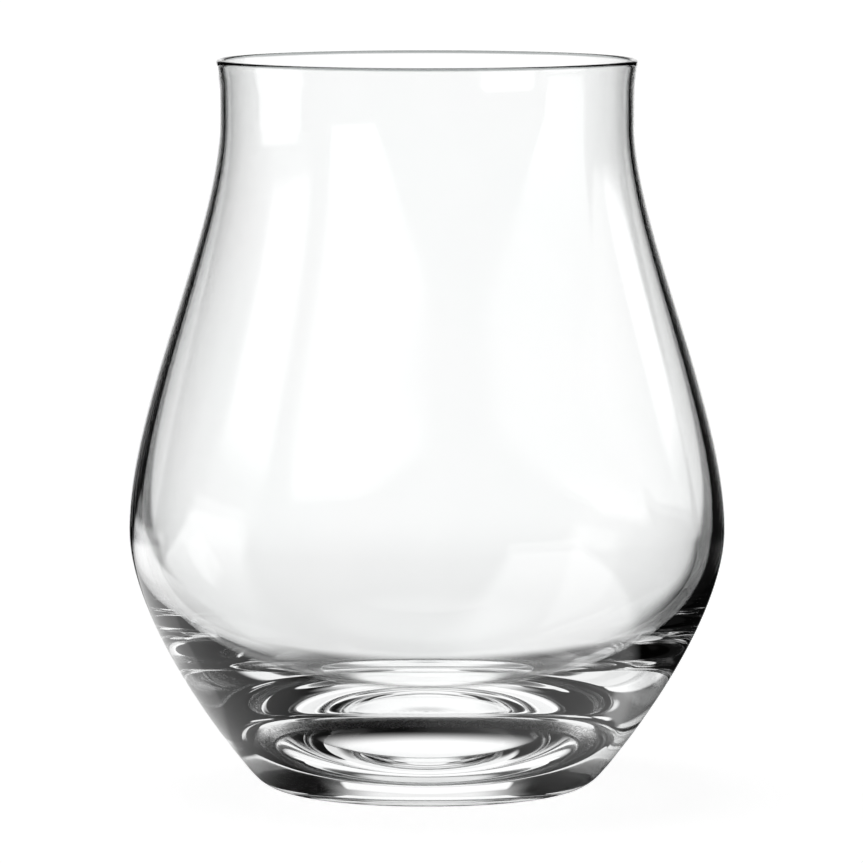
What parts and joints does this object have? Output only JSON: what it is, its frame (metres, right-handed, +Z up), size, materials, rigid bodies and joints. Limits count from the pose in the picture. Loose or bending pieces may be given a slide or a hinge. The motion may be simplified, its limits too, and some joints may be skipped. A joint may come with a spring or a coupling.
{
  "type": "beer tasting glass",
  "caption": "Stemless tulip tasting glass in clear crystal: a thin bowl narrowing to a slightly opened rim, on a thick solid base with a flat standing ring.",
  "frame": {"origin": "on the table, under the middle of the base", "axes": "+Z up along the axis that the glass is turned about; +X and +Y are free, because the glass is round"},
  "size_m": [0.09, 0.09, 0.11],
  "materials": {
    "glass": "clear, fire-polished"
  },
  "bodies": {
    "root": {"lip": "glass", "shoulder": "glass", "bowl": "glass", "base": "glass"}
  },
  "joints": []
}
